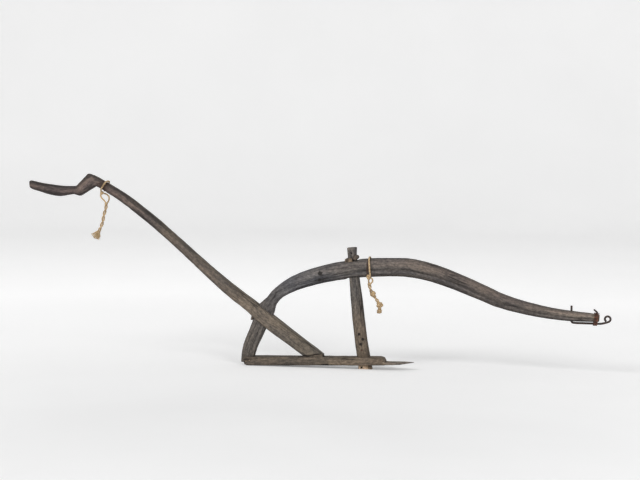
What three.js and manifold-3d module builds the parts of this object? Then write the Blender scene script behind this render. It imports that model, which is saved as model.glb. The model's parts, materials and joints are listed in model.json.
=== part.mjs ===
// A walking plow with one handle, a naturally bent beam, a sole and an upright post.
// Millimetres. +X runs forward along the beam, +Y to the plowman's left, +Z up.
// The origin is on the ground, halfway along the plow and in its middle plane.

import * as THREE from 'three';
import Module from 'manifold-3d';
import { mergeVertices } from 'three/addons/utils/BufferGeometryUtils.js';

const wasm = await Module();
wasm.setup();

// ---- Driving dimensions ---------------------------------------------------------------

const gap = 0.35;            // clearance between a piece and the hole it sits in
const legWidth = 30;         // the beam's leg, across the plow
const postWidth = 32;        // the post, across the plow
const tenonWidth = 26;       // the post's tenon in the sole
const soleWidth = 64;        // the sole, across the plow
const soleHeel = -277;       // rear end of the sole
const soleNose = 322;        // front end of the sole, where the tongue starts
const soleTopSlope = 0.0292; // the sole's top climbs forward
const soleBottomSlope = 0.0355;
const soleHeelHeight = 36;
const heelContact = -262;    // where the rounded heel meets the ground
const rodDiameter = 9.2;     // draft hook
const wireDiameter = 2.6;    // binding at the beam's tip
const pegDiameter = 7;
const nailDiameter = 3.6;
const keyDiameter = 19;      // round key in the notch of the post
const keyReach = 25;         // half the key's length
const strandDiameter = 7.2;  // one strand of straw rope
const strandOpening = 4.2;   // from a strand's middle to the middle of the two laid strands

// A timber is a list of stations along its length. Each holds the point on its upper (or rear)
// edge, the point on its lower (or front) edge, its width across the plow and its corner bevel.
// [upper x, upper z, lower x, lower z, width, bevel]

const legStations = [
  [-291, 11.5, -242, 12, legWidth, 2],
  [-289, 47, -234.5, 40, legWidth, 2],
  [-279.5, 96.5, -222.5, 80.5, legWidth, 2],
  [-261, 140, -202.5, 123, legWidth, 2],
  [-244.5, 186, -186, 160, legWidth, 2],
  [-225, 232, -164.5, 198.5, legWidth, 2],
  [-213, 263, -153.5, 223.5, legWidth + 1, 2],
];

const beamStations = [
  [-180, 290.5, -145.5, 256.5, 38, 4],
  [-153.5, 322.5, -124, 283.5, 44, 6],
  [-70.5, 382.5, -44.5, 325, 50, 9],
  [52, 427, 65.5, 356.5, 56, 11],
  [187, 454.5, 192.5, 379.5, 58, 12],
  [342, 465, 340.5, 390, 58, 13],
  [427.5, 463, 420.5, 388.5, 57, 13],
  [544, 436, 523, 368.5, 55, 12],
  [675, 386.5, 651, 324.5, 52, 12],
  [820, 323, 800, 269.5, 48, 11],
  [968, 284, 960.5, 237.5, 44, 10],
  [1064.5, 271, 1060.5, 228.5, 41, 9],
  [1159.5, 261, 1156.5, 226.5, 38, 8],
  [1192, 255.5, 1190.5, 227, 34, 8],
];

const gripStations = [
  [-1240.5, 762, -1237, 732.5, 24, 7],
  [-1232.5, 765, -1228, 727.5, 30, 9],
  [-1198.5, 757, -1191, 716.5, 32, 10],
  [-1148, 749, -1141, 703, 33, 10],
  [-1102, 744.5, -1099, 698.5, 33, 10],
  [-1059, 743, -1063, 704.5, 31, 9],
  [-1031, 743.5, -1037, 708.5, 31, 7],
];

const elbowStations = [
  [-1023, 745.5, -1009, 701.5, 34, 4],
  [-972, 797.5, -937, 744.5, 36, 4],
  [-940, 787, -916, 734.5, 36, 5],
];

const shaftStations = [
  [-879, 755, -898.5, 724, 35, 8],
  [-798.5, 709, -820, 675, 36, 9],
  [-700, 639, -726.5, 607.5, 38, 9],
  [-596, 555, -623.5, 524.5, 40, 9],
  [-487.5, 463, -516.5, 433, 42, 8],
  [-395, 387, -427.5, 354.5, 44, 7],
  [-314.5, 325.5, -347.5, 286.5, 46, 6],
  [-233.5, 268, -270, 228.5, 49, 5],
  [-158, 214.5, -195.5, 166.5, 50, 4],
  [-77.5, 155, -113, 109, 48, 4],
  [-12.5, 108.5, -64, 76, 47, 4],
];

const handleFoot = [58, 59, -21, 46, 46, 3];

// The tongue: [x, underside z, width, bevel]. Its top is flat and climbs with the sole.
const tongueRoot = 32.1;
const tongueSteps = [
  [302, 21, 60, 2],
  [351, 23.6, 57, 2],
  [384, 25.4, 50, 2],
  [411, 28.8, 33, 2],
  [431, 32, 17, 1.5],
  [444, 34.2, 6, 0.8],
];

const postStations = [
  [204.5, soleTop(204.5) + gap, 257, soleTop(257) + gap, postWidth, 3],
  [193.5, 121.5, 244, 120, postWidth, 3],
  [175, 287.5, 222.5, 286, postWidth, 3],
  [166.5, 399.5, 204.5, 398, postWidth, 3],
  [160.5, 469.5, 195, 469.5, postWidth, 3],
  [157.5, 504.5, 195.5, 507.5, postWidth, 2],
];

const tenonStations = [
  [210, 0, 252, 0, tenonWidth, 2],
  [210, 62, 250, 62, tenonWidth, 2],
];

// Wedge in front of the tenon, driven up from below.
const footWedgeStations = [
  [252.8, 0.6, 268, 0.6, 24, 2],
  [251.2, 46, 257.5, 46, 24, 1],
];

// Mortise through the beam: its rear wall leans more than the post, its near wall leaves room
// for the packing slip. [rear x, rear z, front x, front z]
const mortiseFoot = [160, 340, 211, 340];
const mortiseHead = [142.4, 500, 204.4, 500];
const mortiseNear = -21.5;
const mortiseFar = 16.6;

// ---- Helpers --------------------------------------------------------------------------

const palette = {
  wood: { color: 0x675d54, roughness: 0.82, metalness: 0 },
  lightWood: { color: 0xb09a85, roughness: 0.85, metalness: 0 },
  iron: { color: 0x4b3d37, roughness: 0.7, metalness: 0.7 },
  rust: { color: 0x6e4434, roughness: 0.85, metalness: 0.4 },
  straw: { color: 0xb08a5c, roughness: 0.95, metalness: 0 },
};

const plow = new THREE.Group();

function add(name, geometry, finish) {
  const material = new THREE.MeshStandardMaterial(palette[finish]);
  const mesh = new THREE.Mesh(geometry, material);
  mesh.name = name;
  plow.add(mesh);
}

// Joins rings of equal length into one closed skin. Each ring runs anticlockwise as seen from
// the end that the rings run towards.
function skin(rings) {
  const count = rings[0].length;
  const last = (rings.length - 1) * count;
  const index = [];
  for (let start = 0; start < last; start += count) {
    for (let k = 0; k < count; k += 1) {
      const a = start + k;
      const b = start + ((k + 1) % count);
      index.push(a, b, b + count, a, b + count, a + count);
    }
  }
  for (let k = 1; k + 1 < count; k += 1) {
    index.push(0, k + 1, k, last, last + k, last + k + 1);
  }
  const geometry = new THREE.BufferGeometry();
  geometry.setAttribute('position', new THREE.Float32BufferAttribute(rings.flat(2), 3));
  geometry.setIndex(index);
  return geometry;
}

// One bevelled section of a timber, grown on every side by the clearance that a mortise needs.
function section([upperX, upperZ, lowerX, lowerZ, width, bevel], grow = 0) {
  const depth = Math.hypot(upperX - lowerX, upperZ - lowerZ);
  const up = [(upperX - lowerX) / depth, (upperZ - lowerZ) / depth];
  const half = width / 2 + grow;
  const low = -grow;
  const high = depth + grow;
  const outline = [
    [low, bevel - half], [low, half - bevel], [low + bevel, half], [high - bevel, half],
    [high, half - bevel], [high, bevel - half], [high - bevel, -half], [low + bevel, -half],
  ];
  return outline.map(([rise, across]) => [lowerX + up[0] * rise, across, lowerZ + up[1] * rise]);
}

// Smooth stations between the given ones.
function smooth(stations, count) {
  const columns = [[0, 1], [2, 3], [4, 5]];
  const curves = columns.map(([i, j]) => new THREE.CatmullRomCurve3(
    stations.map((station) => new THREE.Vector3(station[i], station[j], 0)),
  ));
  const steps = Array.from({ length: count + 1 }, (_, step) => step / count);
  return steps.map((t) => curves.flatMap((curve) => curve.getPoint(t).toArray().slice(0, 2)));
}

function timber(stations, grow = 0) {
  return skin(stations.map((station) => section(station, grow)));
}

function solid(geometry) {
  const bare = geometry.clone();
  bare.deleteAttribute('normal');
  bare.deleteAttribute('uv');
  const merged = mergeVertices(bare, 1e-4);
  return new wasm.Manifold(new wasm.Mesh({
    numProp: 3,
    vertProperties: merged.attributes.position.array,
    triVerts: Uint32Array.from(merged.index.array),
  }));
}

function shell(body) {
  const mesh = body.getMesh();
  const geometry = new THREE.BufferGeometry();
  geometry.setAttribute('position', new THREE.BufferAttribute(mesh.vertProperties, 3));
  geometry.setIndex(new THREE.BufferAttribute(mesh.triVerts, 1));
  return geometry;
}

function cut(geometry, tools) {
  return shell(tools.reduce((body, tool) => body.subtract(solid(tool)), solid(geometry)));
}

function join(geometries) {
  const [first, ...rest] = geometries.map(solid);
  return shell(rest.reduce((body, piece) => body.add(piece), first));
}

// A round rod along a smooth path.
function rod(points, diameter, steps, sides = 8) {
  const outline = new THREE.Shape().absarc(0, 0, diameter / 2, 0, 2 * Math.PI);
  const path = new THREE.CatmullRomCurve3(points.map((point) => new THREE.Vector3(...point)));
  return new THREE.ExtrudeGeometry(outline, {
    steps,
    extrudePath: path,
    bevelEnabled: false,
    curveSegments: sides / 2,
  });
}

// A straight peg with its axis across the plow.
function crossPeg(x, z, diameter, from, to, sides = 12) {
  const peg = new THREE.CylinderGeometry(diameter / 2, diameter / 2, to - from, sides);
  return peg.translate(0, (from + to) / 2, 0).translate(x, 0, z);
}

function soleTop(x) {
  return soleHeelHeight + (x - soleHeel) * soleTopSlope;
}

function soleBottom(x) {
  return (x - heelContact) * soleBottomSlope;
}

// ---- Pegs, pins and nails across the timbers --------------------------------------------

const heelPegs = [
  { name: 'heel_peg_rear', x: -266, z: 18 },
  { name: 'heel_peg_front', x: -251, z: 22 },
];
const handlePeg = { x: 18, z: 20 };
const footPin = { x: 224, z: 7 };
const key = { x: 194.3, z: 464.8 };
const headHole = { x: 177, z: 483.5, diameter: 6 };
const postNails = [
  { name: 'post_nail_upper', x: 212, z: 146 },
  { name: 'post_nail_middle', x: 220, z: 104 },
  { name: 'post_nail_lower', x: 225, z: 80 },
];
const emptyNailHole = { x: 229, z: 126, diameter: 4.4, depth: 14 };
const nosePin = { x: 310, z: 40, depth: 24 };
const pegReach = soleWidth / 2 + 1;
const pinReach = tenonWidth / 2 + 1;
const postFace = -postWidth / 2;
const farOut = 45;           // past every timber's face, for the tools that cut through

function pegHole({ x, z }, diameter = pegDiameter) {
  return crossPeg(x, z, diameter + 2 * gap, -farOut, farOut);
}

// A cut nail with a low round head, driven from the near side.
function nail({ x, z }, face, length) {
  const shank = crossPeg(x, z, nailDiameter, face - 1, face + length, 8);
  const head = crossPeg(x, z, 2.2 * nailDiameter, face - 2.4, face - gap, 8);
  return join([shank, head]);
}

function nailHole({ x, z }, face, length, diameter = nailDiameter + 2 * gap) {
  return crossPeg(x, z, diameter, face - 5, face + length);
}

for (const { name, x, z } of heelPegs) {
  add(name, crossPeg(x, z, pegDiameter, -pegReach, pegReach), 'lightWood');
}
add('handle_foot_peg', crossPeg(handlePeg.x, handlePeg.z, pegDiameter, -pegReach, pegReach), 'wood');
add('foot_pin', crossPeg(footPin.x, footPin.z, pegDiameter - 1, -pinReach, pinReach), 'iron');
for (const place of postNails) {
  add(place.name, nail(place, postFace, 24), 'rust');
}
add('nose_pin', crossPeg(
  nosePin.x, nosePin.z, pegDiameter - 1, -pegReach, nosePin.depth - pegReach,
), 'lightWood');

// ---- Beam, post and what locks them together ----------------------------------------------

const leg = timber(smooth(legStations, 10), gap);
const legAndBeam = [...smooth(legStations, 10), ...smooth(beamStations, 34)];
const heelHoles = heelPegs.map((peg) => pegHole(peg));
const keyNotch = pegHole(key, keyDiameter);

const mortise = skin([mortiseFoot, mortiseHead].map(([rear, rearZ, front, frontZ]) => [
  [front, mortiseNear, frontZ], [front, mortiseFar, frontZ],
  [rear, mortiseFar, rearZ], [rear, mortiseNear, rearZ],
]));

const spikeX = 1080;
const spikeBore = rodDiameter / 2 + 2 * gap;
const spikeHole = new THREE.CylinderGeometry(spikeBore, spikeBore, 120, 12)
  .rotateX(Math.PI / 2).translate(spikeX, 0, 250);

add('beam', cut(timber(legAndBeam), [mortise, spikeHole, ...heelHoles, keyNotch]), 'wood');

add('post', cut(join([timber(smooth(postStations, 10)), timber(tenonStations)]), [
  keyNotch,
  pegHole(headHole, headHole.diameter),
  pegHole(footPin),
  ...postNails.map((place) => nailHole(place, postFace, 26)),
  nailHole(emptyNailHole, postFace, emptyNailHole.depth, emptyNailHole.diameter),
]), 'wood');

// x on the mortise's rear wall and on the post's rear face, at a height.
function mortiseRear(z) {
  const [foot, footZ] = mortiseFoot;
  const [head, headZ] = mortiseHead;
  return foot + ((head - foot) * (z - footZ)) / (headZ - footZ);
}

function postRear(z) {
  const [, , , low, high] = postStations;
  return low[0] + ((high[0] - low[0]) * (z - low[1])) / (high[1] - low[1]);
}

add('rear_wedge', timber([404, 436, 454].map((z) => (
  [mortiseRear(z) + gap, z, postRear(z) - 2 * gap, z, 28, 1]
)).concat([[mortiseRear(461) + 3, 458, postRear(463) - 2 * gap, 463, 26, 2]])), 'wood');

// A flat piece cut from an outline in the plow's middle plane and given a thickness across it.
function plank(outline, from, to) {
  const shape = new THREE.Shape(outline.map(([x, z]) => new THREE.Vector2(x, z)));
  const geometry = new THREE.ExtrudeGeometry(shape, { depth: to - from, bevelEnabled: false });
  return geometry.rotateX(Math.PI / 2).translate(0, to, 0);
}

add('packing_slip', plank(
  [[166, 402], [183, 402], [184, 430], [181, 458], [177, 462], [164, 460], [162, 440]],
  mortiseNear + gap,
  postFace - gap,
), 'lightWood');

const keyProfile = [
  [0, -keyReach], [keyDiameter / 2 - 1.5, -keyReach], [keyDiameter / 2, 2 - keyReach],
  [keyDiameter / 2, keyReach - 6], [keyDiameter / 2 + 2, keyReach - 4],
  [keyDiameter / 2 + 1, keyReach - 1], [keyDiameter / 2 - 3, keyReach + 1], [0, keyReach + 2],
];
add('post_key', new THREE.LatheGeometry(
  keyProfile.map(([radius, along]) => new THREE.Vector2(radius, along)),
  16,
).rotateX(Math.PI).translate(key.x, 0, key.z), 'wood');

// ---- Sole: the bed, the pad under the handle's foot and the tongue --------------------------

const noseTop = soleTop(soleNose);
const noseBottom = soleBottom(soleNose);
const bed = timber([
  [soleHeel, soleHeelHeight, soleHeel, 13, soleWidth - 6, 2],
  [soleHeel + 3, soleHeelHeight, soleHeel + 4, 4.5, soleWidth - 2, 3],
  [heelContact + 1, soleTop(heelContact), heelContact, 0, soleWidth, 3],
  [soleNose - 20, soleTop(soleNose - 20), soleNose - 20, soleBottom(soleNose - 20), soleWidth, 3],
  [soleNose - 7, noseTop - 4, soleNose - 7, noseBottom - 0.2, soleWidth - 2, 4],
  [soleNose, noseTop - 13, soleNose, noseBottom, soleWidth - 6, 4],
]);

const padRear = handleFoot[2] - 3;
const padFront = handleFoot[0] + 2;
const padDepth = 20;
const pad = timber([
  [padRear, soleTop(padRear) + 0.4, padRear, padDepth, handleFoot[4], 2],
  [padFront, handleFoot[1] - gap, padFront, padDepth, handleFoot[4], 2],
]);

const tongue = timber(tongueSteps.map(([x, under, width, bevel]) => (
  [x, tongueRoot + (x - tongueSteps[0][0]) * soleTopSlope, x, under, width, bevel]
)));

// The handle's foot goes into the sole with a tenon, and a peg holds it.
const footTenon = [
  [5, 14, 31, 14, 20, 1],
  [-1, 75, 25, 75, 20, 1],
];

const chipNotch = new THREE.BoxGeometry(46, 8, 7).translate(76, -soleWidth / 2, soleBottom(76));

add('sole', cut(join([bed, pad, tongue]), [
  leg,
  timber(tenonStations, gap),
  timber(footWedgeStations, gap),
  timber(footTenon, gap),
  pegHole(handlePeg),
  ...heelHoles,
  nailHole(nosePin, -pegReach, nosePin.depth + 1, pegDiameter - 1 + 2 * gap),
  chipNotch,
]), 'wood');

add('foot_wedge', timber(footWedgeStations), 'lightWood');

// ---- Handle --------------------------------------------------------------------------------

const handleStations = [
  ...smooth(gripStations, 12),
  ...elbowStations,
  ...smooth(shaftStations, 24),
  handleFoot,
];

// The wedge stands behind the leg, in the handle's mortise, and draws out upwards, so its slot
// runs on past the handle's upper edge.
const wedgeFoot = [-252.7, 192.3, -245.2, 189.3, 22, 1];
const wedgeHead = [-234.0, 260.7, -220.6, 250.5, 22, 1];
const slotRun = 1.4;
const slotHead = wedgeFoot.map((value, k) => value + slotRun * (wedgeHead[k] - value));

add('handle', cut(join([timber(handleStations), timber(footTenon)]), [
  timber(legAndBeam, gap),
  timber([wedgeFoot, slotHead], gap),
  pegHole(handlePeg),
]), 'wood');
add('handle_wedge', timber([wedgeFoot, wedgeHead]), 'lightWood');

// ---- Draft hook: a spike through the beam, a rod under it and a curled eye -------------------

const eye = { x: 1224.6, z: 238.7, halfLength: 11.4, halfHeight: 11.2, drift: 9.4 };
const eyeStart = -75;
const eyeTurn = 312;
const eyePoints = Array.from({ length: 12 }, (_, step) => {
  const turned = step / 11;
  const angle = THREE.MathUtils.degToRad(eyeStart + eyeTurn * turned);
  const x = eye.x + eye.halfLength * Math.cos(angle);
  return [x, eye.drift * turned, eye.z + eye.halfHeight * Math.sin(angle)];
});
const hookPath = [
  [spikeX, 0, 290], [spikeX, 0, 271], [spikeX, 0, 251], [spikeX, 0, 233], [spikeX + 0.6, 0, 226],
  [spikeX + 4, 0, 221.6], [spikeX + 14, 0, 220], [1124, 0, 219.8], [1164, 0, 219.6],
  [1192, 0, 219.3], [1208, 0, 221.6],
  ...eyePoints,
];
add('draft_hook', rod(hookPath, rodDiameter, 72), 'iron');

// ---- Wire binding round the beam's tip and the rod -------------------------------------------

const binding = { x: 1168, z: 237.4, halfWidth: 21.9, halfHeight: 25.2, pitch: 6.4, turns: 3 };
const roundness = 2 / 3;

// A point on a rounded rectangle: across and up for an angle from its top.
function roundedTurn(angle, halfWidth, halfHeight) {
  const across = Math.sin(angle);
  const up = Math.cos(angle);
  return [
    halfWidth * Math.sign(across) * Math.abs(across) ** roundness,
    halfHeight * Math.sign(up) * Math.abs(up) ** roundness,
  ];
}

const stepsPerTurn = 24;
const wirePath = Array.from({ length: binding.turns * stepsPerTurn + 1 }, (_, step) => {
  const turned = step / stepsPerTurn;
  const [across, up] = roundedTurn(2 * Math.PI * turned, binding.halfWidth, binding.halfHeight);
  return [binding.x + binding.pitch * turned, across, binding.z + up];
});
add('binding_wire', rod(wirePath, wireDiameter, binding.turns * 32, 6), 'rust');
add('wire_twist', rod(
  [[1184, -12, 265.6], [1180, -12, 268.6], [1175, -11.5, 272.6], [1170, -11, 277.6]],
  1.8 * wireDiameter,
  6,
), 'rust');

// ---- Straw ropes --------------------------------------------------------------------------

// A loop round a timber: from underneath, up one side, over and down the other side. Up and
// forward are the timber's own directions in the plow's middle plane.
function ropeLoop({ x, z, upX, upZ, halfWidth, halfDepth, from, to, lead, steps }) {
  return Array.from({ length: steps + 1 }, (_, step) => {
    const turned = step / steps;
    const angle = THREE.MathUtils.degToRad(from + (to - from) * turned) + Math.PI;
    const [across, up] = roundedTurn(angle, halfWidth, halfDepth);
    const along = lead[0] + (lead[1] - lead[0]) * turned;
    return [x + upX * up + upZ * along, -across, z + upZ * up - upX * along];
  });
}

// One of two strands that wind round each other along a route in the plow's middle plane.
// Side is 1 for the strand that starts towards +Y, -1 for the other.
function laidStrand(points, side, pitch, steps) {
  const path = new THREE.CatmullRomCurve3(points.map((point) => new THREE.Vector3(...point)));
  const length = path.getLength();
  return Array.from({ length: steps + 1 }, (_, step) => {
    const turned = step / steps;
    const { x, y, z } = path.getPointAt(turned);
    const ahead = path.getTangentAt(turned);
    const angle = (2 * Math.PI * turned * length) / pitch;
    const across = side * strandOpening * Math.sin(angle);
    return [x - across * ahead.z, y + side * strandOpening * Math.cos(angle), z + across * ahead.x];
  });
}

const tailSteps = 14;

const handleLoop = ropeLoop({
  x: -898.2, z: 745.2, upX: 0.524, upZ: 0.852, halfWidth: 23.8, halfDepth: 24.4,
  from: 20, to: 350, lead: [4, -4], steps: 14,
});
const handleLeft = [
  [-915, -5, 713], [-917, -5, 704], [-911.5, -5, 692.5], [-900.5, -5, 682.5], [-895, -6, 675],
];
const handleRight = [
  [-907, 4, 713.5], [-897, 5, 711], [-888.5, 3, 706], [-881.5, 1, 698], [-881.5, 0, 686.5],
  [-886.5, 1.5, 677],
];
const handleTail = [
  [-893, -3, 666.5], [-893.5, -3, 656.5], [-897, -3, 640.5], [-902, -3, 624.5], [-905, -4, 608.5],
  [-907.5, -4, 592.5], [-912.5, -4, 578.5], [-918.5, -4, 565], [-923, -4, 554],
];
const handlePitch = 52;
const handleStrands = [-1, 1].map((side) => laidStrand(handleTail, side, handlePitch, tailSteps));
add('handle_rope', rod(
  [...handleLoop, ...handleLeft, ...handleStrands[0]], strandDiameter, 70,
), 'straw');
add('handle_rope_strand', rod([...handleRight, ...handleStrands[1]], strandDiameter, 40), 'straw');
add('handle_rope_tuft', new THREE.CylinderGeometry(6, 14, 32, 10)
  .rotateX(Math.PI / 2).rotateY(0.5).translate(-932.5, -4, 534), 'straw');

const beamLoop = ropeLoop({
  x: 253.3, z: 422.3, upX: -0.06, upZ: 0.998, halfWidth: 37, halfDepth: 44.4,
  from: -55, to: -360, lead: [4, -4], steps: 18,
});
const beamLeft = [[250.5, -10, 376.5], [251, -19, 372], [252, -24, 366]];
const beamRight = [
  [265, -38, 384], [269, -37, 378], [270, -36.5, 371], [267, -37.5, 364.5], [262, -38, 361],
];
const beamTail = [
  [255, -29, 356.5], [258, -30, 344.5], [262, -30, 331.5], [269.5, -30, 318.5], [278.5, -31, 305.5],
  [287.5, -31, 292.5], [296.5, -31, 280.5], [302, -31, 268.5], [301, -31, 254.5], [298, -31, 240.5],
];
const beamPitch = 44;
const beamStrands = [1, -1].map((side) => laidStrand(beamTail, side, beamPitch, tailSteps));
add('beam_rope', rod([...beamLoop, ...beamLeft, ...beamStrands[0]], strandDiameter, 76), 'straw');
add('beam_rope_strand', rod([...beamRight, ...beamStrands[1]], strandDiameter, 40), 'straw');

export default plow;
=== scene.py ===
# %% [markdown]
# # A walking plow of hewn timber
# The plow is four timbers: a cranked handle, a naturally bent beam, a sole and an upright post.
# Wedges and pegs hold them, an iron draft hook is wired to the beam's tip, and two straw ropes
# hang on it. The CAD part already holds every size and every place, so the script starts from
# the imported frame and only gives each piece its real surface.

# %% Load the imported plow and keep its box
import json
import math

import bmesh
import bpy
import numpy as np
from mathutils import Matrix, Vector


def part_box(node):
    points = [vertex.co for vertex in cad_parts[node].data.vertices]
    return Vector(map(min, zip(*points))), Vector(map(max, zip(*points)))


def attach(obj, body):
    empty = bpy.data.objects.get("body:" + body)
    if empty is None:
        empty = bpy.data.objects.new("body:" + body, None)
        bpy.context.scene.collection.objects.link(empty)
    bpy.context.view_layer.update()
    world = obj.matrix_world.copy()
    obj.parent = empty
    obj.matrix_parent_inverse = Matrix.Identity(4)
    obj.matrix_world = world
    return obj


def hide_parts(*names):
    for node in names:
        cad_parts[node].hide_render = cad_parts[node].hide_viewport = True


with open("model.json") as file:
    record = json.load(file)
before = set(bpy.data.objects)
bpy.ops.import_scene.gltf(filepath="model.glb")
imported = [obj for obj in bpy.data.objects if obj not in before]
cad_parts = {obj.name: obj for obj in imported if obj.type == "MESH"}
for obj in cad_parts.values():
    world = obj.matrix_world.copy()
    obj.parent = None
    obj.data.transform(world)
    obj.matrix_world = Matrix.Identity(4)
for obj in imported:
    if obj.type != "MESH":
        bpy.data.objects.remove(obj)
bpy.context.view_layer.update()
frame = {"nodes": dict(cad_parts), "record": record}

body_of = {
    node: body
    for body, nodes in frame["record"]["behaviour"]["bodies"].items()
    for node in nodes
}

# %% [markdown]
# ## The camera
# The plow is seen almost from its right side, a little towards its front, from a bit above the
# beam. A long lens far away keeps the handle and the tip at nearly the same scale. The camera
# could be aimed with a constraint, but three plain turns keep it fixed and easy to read.

# %% Camera
LENS_MM = 84.375
SENSOR_MM = 36
camera_place = (1.2313, -6.1270, 0.90)
turn_to_front = math.radians(11)
tip_down = math.radians(3.36)
lean = math.radians(0.59)

camera_data = bpy.data.cameras.new("camera")
camera_data.lens = LENS_MM
camera_data.sensor_width = SENSOR_MM
camera = bpy.data.objects.new("camera", camera_data)
camera.matrix_world = (
    Matrix.Translation(camera_place)
    @ Matrix.Rotation(turn_to_front, 4, "Z")
    @ Matrix.Rotation(math.pi / 2 - tip_down, 4, "X")
    @ Matrix.Rotation(lean, 4, "Z")
)
bpy.context.collection.objects.link(camera)
bpy.context.scene.camera = camera
print("camera stands", round(Vector(camera_place).length, 2), "m from the plow's middle")

# %% [markdown]
# ## Building blocks for meshes
# Ropes and twisted wires are all tubes that follow a route. A curve object with a bevel would
# make a plain round tube. Here each strand winds round its neighbour, so the tubes are made
# from rings in mesh code, with a UV map that runs along the fibres.

# %% A new object from plain lists
def new_object(name, points, faces, material=None):
    mesh = bpy.data.meshes.new(name)
    mesh.from_pydata([tuple(point) for point in points], [], faces)
    mesh.update()
    made = bpy.data.objects.new(name, mesh)
    bpy.context.collection.objects.link(made)
    if material is not None:
        mesh.materials.append(material)
    return made


def metres(points):
    return np.array(points, dtype=float) / 1000


# %% An even route through a few given points
def even_route(points, spacing):
    """Catmull-Rom through the points, cut into even steps. Returns the places and distances."""
    ends = [2 * points[0] - points[1]], [2 * points[-1] - points[-2]]
    padded = np.vstack([ends[0], points, ends[1]])
    fine = []
    for a, b, c, d in zip(padded, padded[1:], padded[2:], padded[3:]):
        for t in np.linspace(0, 1, 16, endpoint=False):
            bend = (2 * a - 5 * b + 4 * c - d) * t * t + (3 * b - a - 3 * c + d) * t**3
            fine.append(b + ((c - a) * t + bend) / 2)
    fine = np.vstack([fine, points[-1]])
    reach = np.concatenate([[0], np.cumsum(np.linalg.norm(np.diff(fine, axis=0), axis=1))])
    even = np.linspace(0, reach[-1], max(3, round(reach[-1] / spacing) + 1))
    return np.column_stack([np.interp(even, reach, fine[:, k]) for k in range(3)]), even


def carried_frames(route):
    """A side and an up direction along the route that turn as little as they can."""
    ahead = np.gradient(route, axis=0)
    ahead /= np.linalg.norm(ahead, axis=1)[:, None]
    side = np.cross(ahead[0], (0.3, 0.2, 0.93))
    sides = []
    for direction in ahead:
        side = side - direction * side.dot(direction)
        side /= np.linalg.norm(side)
        sides.append(side)
    sides = np.array(sides)
    return sides, np.cross(ahead, sides)


# %% Tubes from rings
def tube(route, radii, sides=8):
    """Points, faces and fibre coordinates of a closed tube. Its ends are domed."""
    side, up = carried_frames(route)
    reach = np.concatenate([[0], np.cumsum(np.linalg.norm(np.diff(route, axis=0), axis=1))])
    angles = np.linspace(0, 2 * math.pi, sides, endpoint=False)
    rings = [
        centre + radius * (np.outer(np.cos(angles), s) + np.outer(np.sin(angles), u))
        for centre, radius, s, u in zip(route, radii, side, up)
    ]
    points = np.vstack(rings + [route[:1], route[-1:]])
    last = (len(route) - 1) * sides
    faces, fibres = [], []
    for ring in range(len(route) - 1):
        for k in range(sides):
            a, b = ring * sides + k, ring * sides + (k + 1) % sides
            faces.append((a, b, b + sides, a + sides))
            low, high = reach[ring], reach[ring + 1]
            v, w = k / sides, (k + 1) / sides
            fibres += [(low, v), (low, w), (high, w), (high, v)]
    start, end = len(points) - 2, len(points) - 1
    for k in range(sides):
        faces.append((start, (k + 1) % sides, k))
        faces.append((end, last + k, last + (k + 1) % sides))
        fibres += [(0, 0.5), (0, (k + 1) / sides), (0, k / sides)]
        fibres += [(reach[-1], 0.5), (reach[-1], k / sides), (reach[-1], (k + 1) / sides)]
    return points, faces, fibres


def domed(count, radius, taper=3):
    """Radii along a tube that close to a small round end at both ends."""
    steps = np.arange(count)
    near_end = np.minimum(steps, steps[::-1])
    return radius * np.sqrt(np.clip((near_end + 0.35) / taper, 0, 1))


def join_tubes(name, tubes, material):
    points, faces, fibres = [], [], []
    for tube_points, tube_faces, tube_fibres in tubes:
        start = len(points)
        points += list(tube_points)
        faces += [tuple(start + k for k in face) for face in tube_faces]
        fibres += tube_fibres
    made = new_object(name, points, faces, material)
    uv = made.data.uv_layers.new(name="fibres")
    uv.data.foreach_set("uv", np.array(fibres, dtype=np.float32).ravel())
    made.data.shade_smooth()
    return made


# %% Strands laid round each other
def laid(route, strands, radius, opening, pitch, sides=8):
    """Tubes that wind round the route. Opening is each strand's distance from the middle."""
    side, up = carried_frames(route)
    reach = np.concatenate([[0], np.cumsum(np.linalg.norm(np.diff(route, axis=0), axis=1))])
    made = []
    for strand in range(strands):
        angle = 2 * math.pi * (reach / pitch + strand / strands)
        out = side * np.cos(angle)[:, None] + up * np.sin(angle)[:, None]
        centre = route + out * np.broadcast_to(opening, len(route))[:, None]
        lumps = 1 + 0.09 * np.sin(reach * 900 + 2 * strand) + 0.05 * np.sin(reach * 2330)
        made.append(tube(centre, domed(len(route), radius) * lumps, sides))
    return made


# %% [markdown]
# ## Node recipes
# A material and a Geometry Nodes tree are built in the same way: add a node, set its options,
# feed its inputs. One small function does it for both, and the recipes below stay short.

# %% Helpers for node trees
def tone(hex_colour):
    """A colour as painters write it, turned into the linear numbers that shaders use."""
    parts = [(hex_colour >> shift & 255) / 255 for shift in (16, 8, 0)]
    return tuple(p / 12.92 if p < 0.04045 else ((p + 0.055) / 1.055) ** 2.4 for p in parts) + (1,)


def shade(red, green=None, blue=None):
    """A grey, or a factor that darkens or warms the colour under it."""
    return (red, green or red, blue or green or red, 1)


def feed(tree, socket, value):
    if isinstance(value, bpy.types.NodeSocket):
        tree.links.new(value, socket)
    else:
        socket.default_value = value


def place(tree, kind, inputs=None, **options):
    made = tree.nodes.new(kind)
    for option, value in options.items():
        setattr(made, option, value)
    for key, value in (inputs or {}).items():
        if isinstance(key, int):
            feed(tree, made.inputs[key], value)
        else:
            feed(tree, next(s for s in made.inputs if s.name == key and s.enabled), value)
    return made


def chosen_output(node):
    """Some nodes keep one output for each data type. This is the one in use."""
    return next(socket for socket in node.outputs if socket.enabled)


def calc(tree, operation, *values):
    return place(tree, "ShaderNodeMath", dict(enumerate(values)), operation=operation).outputs[0]


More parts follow.
